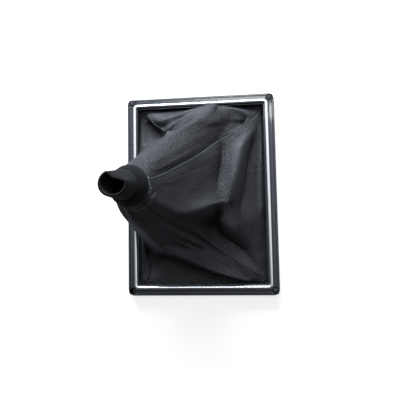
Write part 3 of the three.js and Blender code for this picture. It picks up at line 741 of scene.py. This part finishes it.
def panel(name, first, last, material):
    u, v = panel_grid(name, first, last)
    rows, columns = u.shape
    flat_u, flat_v = u.ravel(), v.ravel()
    base = surface(flat_u, flat_v)
    normal = directions(flat_u, flat_v)[0]
    after_first = flat_u - seam_at(first, flat_v)
    before_last = seam_at(last, flat_v) - flat_u
    at_start = after_first < before_last
    laps = (at_start & (first in LAPPED_SEAMS)).astype(int)
    nearest = np.where(at_start, seam_at(first, flat_v), seam_at(last, flat_v))
    distance = np.minimum(np.abs(after_first), np.abs(before_last)) * directions(nearest, flat_v)[1]
    held = np.clip(flat_v / FADE_FOOT, 0, 1) * np.clip((NECK_ROW - flat_v) / FADE_NECK, 0, 1)
    calm = held * np.clip(distance / FADE_SEAM, 0, 1)
    # The creases' depth is kept for their painted shade.
    rise, depth = crease_field(base, normal)
    seam_drop = rolled(distance, laps) * np.clip(SEAM_AT_FOOT + flat_v, 0, 1)
    lip = lip_of(base) * (flat_v > LIP_ROW)
    lift = wrinkle(base, flat_u, flat_v) * calm + rise * held + seam_drop + LIP_HEIGHT * lip
    outer = base + normal * lift[:, None]
    tucked = np.clip(1 - flat_v / TUCK_ROWS, 0, 1)[:, None] * np.array((0, 0, TUCK))
    inward = normal + tucked
    inward /= np.linalg.norm(inward, axis=1)[:, None]
    inner = outer - inward * LEATHER
    hem_sides = even(u[0], FOOT)
    if last == len(FOLDS):
        ending = hem_sides[-EDGE_COLUMNS:]
        hem_sides[-EDGE_COLUMNS:] = np.where(ending < 1, float(SIDES), ending)
    hem_rows = []
    for share in HEM_SHARES:
        x, y = EDGE_X + HEM_WIDTH * share, EDGE_Y + HEM_WIDTH * share
        radius = OPENING_RADIUS + (HEM_RADIUS - OPENING_RADIUS) * share
        hem_rows.append(outline_points(hem_sides, x, y, HEM_TOP, radius))
    hem = np.concatenate(hem_rows)
    hem_inner = hem - np.array((0, 0, HEM_TOP - HEM_UNDER))
    outer, inner = np.concatenate([hem, outer]), np.concatenate([hem_inner, inner])
    rows += len(HEM_SHARES)
    points = np.concatenate([outer, inner])
    count = rows * columns
    grid = np.arange(count).reshape(rows, columns)
    quads = np.stack([grid[:-1, :-1], grid[1:, :-1], grid[1:, 1:], grid[:-1, 1:]], -1)
    quads = quads.reshape(-1, 4)
    under = quads[:, ::-1] + count
    rim = np.concatenate([grid[0, :], grid[1:, -1], grid[-1, -2::-1], grid[-2:0:-1, 0]])
    after = np.roll(rim, -1)
    wall = np.stack([rim, after, after + count, rim + count], -1)
    faces = np.concatenate([quads, under, wall]).tolist()
    stands_for = (name + "_panel",)
    obj = piece(name + "_panel_leather", points, faces, material, "leatherette", stands_for, 60)
    # The lip's crown is lightened in full as a painted highlight.
    wear_and_highlight, scuff = np.maximum(wear_and_highlight_of(distance, rise, laps), lip), scuff_of(base)
    pad = np.zeros(len(HEM_SHARES) * columns)
    # Per point: painted highlight with rubbing, painted shade in creases, and scuffs.
    for key, value in (("wear_and_highlight", wear_and_highlight), ("painted_crease_shade", depth), ("scuff", scuff)):
        layer = obj.data.attributes.new(key, "FLOAT", "POINT")
        layer.data.foreach_set("value", np.tile(np.concatenate([pad, value]), 2).astype(np.float32))
    return obj


# Scuffed spots: (u, v) and radius in millimetres.
SCUFFS = [(1.35, 2.2, 3.2), (1.5, 2.25, 2.0), (1.95, 2.15, 2.6), (8.6, 3.1, 1.4), (5.2, 6.2, 1.6)]


def scuff_of(points):
    out = np.zeros(len(points))
    for u, v, radius in SCUFFS:
        gap = np.linalg.norm(points - surface(u, v), axis=1)
        out = np.maximum(out, np.exp(-((gap / radius) ** 2)))
    return out


# Width of a seam's rubbed line with its painted highlight, and the height at which a ridge is most
# rubbed and lit by painted highlight, and how much.
WEAR_AND_HIGHLIGHT_WIDTH, WEAR_AND_HIGHLIGHT_RISE, RIDGE_WEAR_AND_HIGHLIGHT = 0.5, 1.2, 0.5


def wear_and_highlight_of(distance, rise, laps):
    """Rubbed places, also given painted highlight: the lapping edges of the seams, and the ridges.
    """
    crown = np.exp(-(((distance - SEAM_CROWN_AT) / WEAR_AND_HIGHLIGHT_WIDTH) ** 2)) * laps
    ridge = np.clip(rise / WEAR_AND_HIGHLIGHT_RISE, 0, 1) * RIDGE_WEAR_AND_HIGHLIGHT
    return np.clip(crown + ridge, 0, 1)


def make_panels():
    leather = leather_material()
    for name, first, last in zip(PANELS, SEAMS, SEAMS[1:]):
        obj = panel(name, first, last, leather)


def surround_section():
    groove = RIM_HEIGHT - GROOVE_DEPTH
    inner = DRAFT_TOP + RIM_WIDTH
    corners = [
        (0, 0, 0),
        (0, BAND_HEIGHT, 0.5),
        (DRAFT, groove, 0),
        (DRAFT_TOP, RIM_HEIGHT, 0.35),
        (inner, RIM_HEIGHT, 0.3),
        (inner + GROOVE_SLOPE, groove, 0.3),
        (CHANNEL_OUTER - LAND_WIDTH - GROOVE_SLOPE, groove, 0.3),
        (CHANNEL_OUTER - LAND_WIDTH, RIM_HEIGHT, 0.2),
        (CHANNEL_OUTER, RIM_HEIGHT, 0.12),
        (CHANNEL_OUTER, CHANNEL_FLOOR, 0),
        (CHANNEL_INNER, CHANNEL_FLOOR, 0),
        (CHANNEL_INNER, RIM_HEIGHT, 0.1),
        (RAIL_WIDTH, RIM_HEIGHT, 0.15),
        (RAIL_WIDTH, CLAMP_FACE, 0.2),
        (RAIL_WIDTH - INNER_WALL, CLAMP_FACE, 0),
        (RAIL_WIDTH - INNER_WALL, CEILING, 0),
        (SIDE_WALL, CEILING, 0),
        (SIDE_WALL, 0, 0),
    ]
    return rounded([c[:2] for c in corners], [c[2] for c in corners])


def corner_place(name):
    sx, sy = CORNERS[name]
    return (sx * (HALF_WIDTH - WELL_INSET), sy * (HALF_LENGTH - WELL_INSET))


def pin_places():
    x, y = HALF_WIDTH - PIN_INSET, HALF_LENGTH - PIN_INSET

    def spread(count, half):
        return [half * (2 * (k + 1) / (count + 1) - 1) for k in range(count)]

    along = [(side * x, at) for at in spread(PINS_ALONG, y) for side in (1, -1)]
    across = [(at, side * y) for at in spread(PINS_ACROSS, x) for side in (1, -1)]
    return along + across


def make_surround(material):
    body = plain_object("surround", *rail_sweep(surround_section()))
    wells = [corner_place(name) for name in CORNERS]
    boss = [(0, 0), (BOSS_RADIUS, 0), (BOSS_RADIUS, RIM_HEIGHT), (0, RIM_HEIGHT)]
    pin = [(0, PIN_LOW), (PIN_RADIUS, PIN_LOW), (PIN_RADIUS, PIN_HIGH), (0, PIN_HIGH)]
    posts = [lathe(boss, place) for place in wells]
    posts += [lathe(pin, place, 20) for place in pin_places()]
    boolean(body, plain_object("posts", *joined(posts)), "UNION")
    well = [
        (0, -1),
        (SCREW_HOLE_RADIUS, -1),
        (SCREW_HOLE_RADIUS, WELL_FLOOR),
        (WELL_RADIUS, WELL_FLOOR),
        (WELL_RADIUS, RIM_HEIGHT - WELL_EDGE),
        (WELL_RADIUS + WELL_EASE, RIM_HEIGHT - WELL_EASE_DEPTH),
        (WELL_RADIUS + WELL_EDGE, RIM_HEIGHT),
        (WELL_RADIUS + WELL_EDGE, RIM_HEIGHT + 1),
        (0, RIM_HEIGHT + 1),
    ]
    cuts = joined([lathe(well, place) for place in wells])
    boolean(body, plain_object("wells", *cuts), "DIFFERENCE")
    body.name = "surround"
    obj = finish_piece(body, material, ("surround_frame",), 30)
    weighted = obj.modifiers.new("even shading", "WEIGHTED_NORMAL")
    weighted.keep_sharp = True
    # The wells' faces take the rougher plastic, darkened as painted shade.
    obj.data.materials.append(well_material_with_painted_shade())
    for face in obj.data.polygons:
        away = min(math.dist(face.center[:2], (x * MM, y * MM)) for x, y in wells)
        if away < WELL_RADIUS * MM:
            face.material_index = 1


def make_chrome(material):
    corners = [
        (CHROME_OUTER, CHROME_BOTTOM, 0),
        (CHROME_OUTER, CHROME_TOP - CHROME_CROWN, CHROME_EDGE),
        ((CHROME_OUTER + CHROME_INNER) / 2, CHROME_TOP + CHROME_CROWN, CHROME_BACK),
        (CHROME_INNER, CHROME_TOP - CHROME_CROWN, CHROME_EDGE),
        (CHROME_INNER, CHROME_BOTTOM, 0),
    ]
    section = rounded([c[:2] for c in corners], [c[2] for c in corners], 8)
    points, faces = rail_sweep(section, 18)
    piece("chrome_trim", points, faces, material, "chrome_trim", ("chrome_ring",), 50)


def make_caps(material):
    shoulder = CAP_TOP - CAP_SHOULDER
    dome_foot = CAP_TOP - CAP_DOME_DROP
    edge = CAP_RADIUS - CAP_EDGE
    profile = [(0, STEM_END), (STEM_TIP, STEM_END), (STEM_RADIUS, STEM_END + STEM_TAPER)]
    profile += [(STEM_RADIUS, CAP_UNDER), (CAP_RADIUS, CAP_UNDER), (CAP_RADIUS, shoulder)]
    for k in range(1, 5):
        turn = k * math.pi / 8
        aside = CAP_EDGE * (1 - math.cos(turn))
        profile.append((CAP_RADIUS - aside, shoulder + CAP_EDGE_RISE * math.sin(turn)))
    for k in range(1, 6):
        out = 1 - k / 6
        profile.append((edge * out, dome_foot + CAP_DOME * (1 - out**2)))
    profile.append((0, dome_foot + CAP_DOME))
    for corner in ("rear_left", "rear_right", "front_right"):
        points, faces = lathe(profile, corner_place(corner), 40)
        name, stands_for = corner + "_screw_cap", (corner + "_cap",)
        piece(name, points, faces, material, "cap_plastic", stands_for, 35)


# Points round the sleeve, on each rib, up its body, round its mouth and down its inside.
SLEEVE_AROUND, RIB_POINTS, BODY_POINTS, MOUTH_POINTS, INSIDE_POINTS = 192, 10, 26, 10, 17
RIB_FALL, CUFF_CLEARANCE = 0.8, 0.6
# Columns of points to one column of knit, and millimetres to one course.
KNIT_COLUMN, KNIT_COURSE = 2.0, 0.9


def make_sleeve(material):
    around = SLEEVE_AROUND
    outer_foot = SLEEVE_INNER + SLEEVE_WALL
    rib_end = SLEEVE_FOOT + RIB_COUNT * RIB_PITCH
    hem_round = SLEEVE_HEM / 2
    lip = SLEEVE_LENGTH - hem_round
    tip_inner = SLEEVE_TIP - SLEEVE_HEM
    section = []
    for k in range(RIB_COUNT * RIB_POINTS):
        share = k / (RIB_COUNT * RIB_POINTS)
        rib = RIB_HEIGHT * abs(math.sin(math.pi * RIB_COUNT * share)) ** RIB_FALL
        radius = outer_foot - share**3 * SLEEVE_DRAW_IN + rib
        section.append((radius, SLEEVE_FOOT + share * (rib_end - SLEEVE_FOOT)))
    for k in range(BODY_POINTS):
        share = k / BODY_POINTS
        ease = share * share * (3 - 2 * share)
        radius = outer_foot - SLEEVE_DRAW_IN + (SLEEVE_TIP - outer_foot + SLEEVE_DRAW_IN) * ease
        section.append((radius, rib_end + (lip - rib_end) * share))
    for k in range(MOUTH_POINTS + 1):
        turn = math.pi * k / MOUTH_POINTS
        radius = tip_inner + hem_round * (1 + math.cos(turn))
        section.append((radius, lip + hem_round * math.sin(turn)))
    foot_inner = SLEEVE_INNER - SLEEVE_DRAW_IN
    for k in range(1, INSIDE_POINTS):
        share = k / INSIDE_POINTS
        radius = tip_inner + (foot_inner - tip_inner) * share
        section.append((radius, lip + (rib_end - lip) * share))
    section += [(foot_inner, rib_end), (SLEEVE_INNER, CUFF_LENGTH + CUFF_CLEARANCE)]
    section.append((SLEEVE_INNER, SLEEVE_FOOT))
    section = np.array(section)
    angle = np.linspace(0, 2 * math.pi, around, endpoint=False)
    radius, height = section[:, 0][None, :], section[:, 1][None, :]
    off = np.angle(np.exp(1j * (angle - MOUTH_SAG_ANGLE)))[:, None] / MOUTH_SAG_SPREAD
    rise = np.maximum(0, (height - rib_end) / (SLEEVE_LENGTH - rib_end)) ** 2
    sag = MOUTH_SAG * np.exp(-(off**4)) * rise
    stretch = 1 + MOUTH_STRETCH * rise * np.cos(2 * angle)[:, None]
    points = neck_points(angle[:, None], radius * stretch, np.repeat(height, around, 0))
    points = points - sag[..., None] * REAR
    flat = points.reshape(-1, 3)
    faces = [face[::-1] for face in ring_faces(around, len(section))]
    length = np.concatenate([[0], np.cumsum(np.linalg.norm(np.diff(section, axis=0), axis=1))])
    columns, courses = np.arange(around)[:, None] / KNIT_COLUMN, length[None, :] / KNIT_COURSE
    uv = np.stack(np.broadcast_arrays(columns, courses), -1).reshape(-1, 2)
    stands_for = ("neck_sleeve",)
    obj = piece("neck_sleeve_knit", flat, faces, material, "neck_knit", stands_for, 0, uv)


# The overlock stitches round the sleeve's foot lie between two fold places and two rows.
STITCH_COUNT, STITCH_RADIUS, STITCH_LIFT = 12, 0.19, 0.2
STITCH_FIRST, STITCH_LAST = 7.7, 11.3
STITCH_NEAR, STITCH_FAR, STITCH_SLANT = 6.93, 6.80, 0.16
TAIL = ((15.05, 6.93), (15.1, 6.82), (15.05, 6.72), (15.15, 6.62), (15.05, 6.53))
TAIL_RADIUS, TAIL_POINTS, TAIL_LIFT, TAIL_ARCH = 0.2, 24, 0.25, 0.5
STITCH_POINTS, STITCH_FLAT = 9, 0.5
# The most that chance moves a pair of stitches: its reach, feet, tips, and the tips' row.
STITCH_JITTER = (0.045, 0.05, 0.08, 0.02)
# Every fourth pair has a bar round the neck: folds back and ahead, rows past, and lift.
BAR_EVERY, BAR_BACK, BAR_AHEAD, BAR_PAST, BAR_LIFT = 4, 0.3, 0.5, 0.06, 1.6
# A direction that no thread runs along, and how a thread's ends round off.
THREAD_ASIDE, THREAD_END, THREAD_FALL = (0.31, 0.17, 0.94), 0.12, 6


def tube(line, radius, around=8):
    """Points and faces of a thread along a line of points, with rounded ends."""
    line = np.asarray(line, float)
    ahead = np.gradient(line, axis=0)
    ahead /= np.linalg.norm(ahead, axis=1)[:, None]
    side = np.cross(ahead, THREAD_ASIDE)
    side /= np.linalg.norm(side, axis=1)[:, None]
    up = np.cross(side, ahead)
    count = len(line)
    ends = 1 - np.linspace(-1, 1, count) ** THREAD_FALL
    girth = radius * np.sqrt(np.clip(ends, THREAD_END, 1))
    turn = np.linspace(0, 2 * math.pi, around, endpoint=False)
    rings = line[:, None] + girth[:, None, None] * (
        np.cos(turn)[None, :, None] * side[:, None] + np.sin(turn)[None, :, None] * up[:, None]
    )
    points = rings.reshape(-1, 3).tolist()
    faces = [tuple(range(around)), tuple(range((count - 1) * around, count * around))[::-1]]
    for here in range(0, (count - 1) * around, around):
        ahead = here + around
        for k in range(around):
            m = (k + 1) % around
            faces.append((here + m, here + k, ahead + k, ahead + m))
    return points, faces


def on_leather(u, v, lift):
    """Points over the leather at (u, v), its lip and seams included."""
    u, v, lift = np.broadcast_arrays(*(np.asarray(a, float) for a in (u, v, lift)))
    points = surface(u, v)
    normal = directions(u, v)[0]
    return points + normal * (lift + LIP_HEIGHT * lip_of(points))[:, None]


def make_stitches():
    rng = np.random.default_rng(11)
    threads = []
    places = np.linspace(STITCH_FIRST, STITCH_LAST, STITCH_COUNT)
    arch = np.sin(np.linspace(0, math.pi, STITCH_POINTS))
    for k, place in enumerate(places):
        far, foot, tip, row = rng.uniform(-1, 1, 4) * STITCH_JITTER
        reach = STITCH_FAR + far
        for lean in (-STITCH_SLANT, STITCH_SLANT):
            u = np.linspace(place + foot, place + lean + tip, STITCH_POINTS)
            v = np.linspace(STITCH_NEAR, reach + row, STITCH_POINTS)
            line = on_leather(u, v, STITCH_LIFT * (STITCH_FLAT + arch))
            threads.append(tube(line, STITCH_RADIUS))
        if k % BAR_EVERY == 0:
            u = np.linspace(place - BAR_BACK, place + BAR_AHEAD, STITCH_POINTS)
            v = np.full(STITCH_POINTS, reach + BAR_PAST)
            threads.append(tube(on_leather(u, v, STITCH_LIFT * BAR_LIFT), STITCH_RADIUS))
    pale = thread_material("overlock_thread", rgba(0.13, 0.155, 0.16), rgba(0.36, 0.40, 0.41))
    piece("neck_overlock_stitches", *joined(threads), pale)
    steps = np.linspace(0, len(TAIL) - 1, TAIL_POINTS)
    line = np.array(TAIL)
    u, v = (np.interp(steps, range(len(TAIL)), line[:, k]) for k in (0, 1))
    lift = TAIL_LIFT + TAIL_ARCH * np.sin(np.linspace(0, math.pi, TAIL_POINTS))
    brown = thread_material("tail_thread", rgba(0.05, 0.04, 0.045), rgba(0.17, 0.13, 0.14))
    piece("seam_thread_tail", *tube(on_leather(u, v, lift), TAIL_RADIUS), brown)


FLOOR_HALF, FLOOR_GLOW, GLOW_EDGE = 3.0, 0.80, 0.002
# Nothing glows under the part, so that its open screw well looks down into the dark.
DARK_PATCH = (0.058, 0.078, 0.0)


def floor_material():
    grey = rgba(0.72, 0.72, 0.72)
    s = Shader("floor_white", Base_Color=grey, Roughness=0.9, Specular_IOR_Level=0.0)
    past = s.vector("SUBTRACT", s.vector("ABSOLUTE", s.place()), DARK_PATCH)
    parts = s.node("ShaderNodeSeparateXYZ", {0: past}).outputs
    strength = s.span(s.maths("MAXIMUM", parts[0], parts[1]), 0.0, GLOW_EDGE, 0.0, FLOOR_GLOW)
    glow = s.node("ShaderNodeEmission", {"Strength": strength}).outputs[0]
    dark = s.node("ShaderNodeEmission", {"Strength": 0.0}).outputs[0]
    seen = s.node("ShaderNodeLightPath").outputs["Is Camera Ray"]
    both = s.node("ShaderNodeAddShader", {0: s.main.outputs[0], 1: s.either(seen, dark, glow)})
    s.tree.links.new(both.outputs[0], s.tree.nodes["Material Output"].inputs["Surface"])
    return s.material


def make_stage():
    mesh = bpy.data.meshes.new("floor")
    turns = ((-1, -1), (1, -1), (1, 1), (-1, 1))
    mesh.from_pydata([(x * FLOOR_HALF, y * FLOOR_HALF, 0) for x, y in turns], [], [(0, 1, 2, 3)])
    floor = bpy.data.objects.new("floor", mesh)
    bpy.context.scene.collection.objects.link(floor)
    mesh.materials.append(floor_material())


# Area lamps: name, place, width and height in metres, watts and colour. All point at the part.
LAMP_AIM = Vector((0, 0, 0.02))
LAMPS = (
    ("rear_key", (-0.16, 0.92, 0.36), (0.80, 0.40), 16.5, (0.85, 0.91, 1.0)),
    ("rear_strip", (-0.045, 0.398, 1.0), (0.37, 0.03), 0.42, (0.90, 0.97, 1.0)),
    ("corner_strip", (0.132, 0.355, 1.0), (0.03, 0.05), 0.09, (0.90, 0.97, 1.0)),
)


def lamp(name, place, size, power, colour):
    data = bpy.data.lights.new(name, "AREA")
    data.shape = "RECTANGLE"
    data.size, data.size_y = size
    data.energy = power
    data.color = colour
    obj = bpy.data.objects.new(name, data)
    bpy.context.scene.collection.objects.link(obj)
    turn = (LAMP_AIM - Vector(place)).to_track_quat("-Z", "Y").to_matrix().to_4x4()
    obj.matrix_world = Matrix.Translation(place) @ turn


# The studio is bright on one side: where it points, and how bright each end is for soft and
# for mirrored light.
SOFT_SIDE, MIRRORED_SIDE = (-0.10, 0.80, 0.60), (0.20, 0.96, 0.15)
SOFT_LIGHT = (-0.05, 0.95, 0.0, 0.195)
MIRRORED_LIGHT = (-0.25, 0.42, 0.055, 1.15)


def make_world():
    world = bpy.data.worlds.new("studio")
    bpy.context.scene.world = world
    world.use_nodes = True
    s = Graph(world.node_tree)
    direction = s.node("ShaderNodeTexCoord").outputs["Generated"]
    strengths = []
    for side, light in ((SOFT_SIDE, SOFT_LIGHT), (MIRRORED_SIDE, MIRRORED_LIGHT)):
        turned = s.node("ShaderNodeVectorMath", {0: direction, 1: side}, operation="DOT_PRODUCT")
        facing = turned.outputs["Value"]
        strengths.append(s.span(facing, *light, interpolation_type="SMOOTHSTEP"))
    soft, mirrored = strengths
    ray = s.node("ShaderNodeLightPath").outputs
    pick = s.node("ShaderNodeMix", {0: ray["Is Glossy Ray"], 2: soft, 3: mirrored})
    studio = s.tree.nodes["Background"]
    studio.inputs["Color"].default_value = rgba(0.92, 0.96, 1.0)
    s.tree.links.new(pick.outputs[0], studio.inputs["Strength"])
    white = s.node("ShaderNodeBackground", {"Color": rgba(1.0, 1.0, 1.0)}).outputs[0]
    both = s.either(ray["Is Camera Ray"], studio.outputs[0], white)
    s.tree.links.new(both, s.tree.nodes["World Output"].inputs["Surface"])


def make_light():
    bpy.context.scene.view_settings.view_transform = "Standard"
    make_world()
    for row in LAMPS:
        lamp(*row)


make_camera()
make_surround(gloss_material())
make_chrome(chrome_material())
make_caps(cap_material())
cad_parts["retaining_frame"].data.materials.clear()
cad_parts["retaining_frame"].data.materials.append(backing_material())
make_panels()
make_sleeve(knit_material())
make_stitches()
make_stage()
make_light()
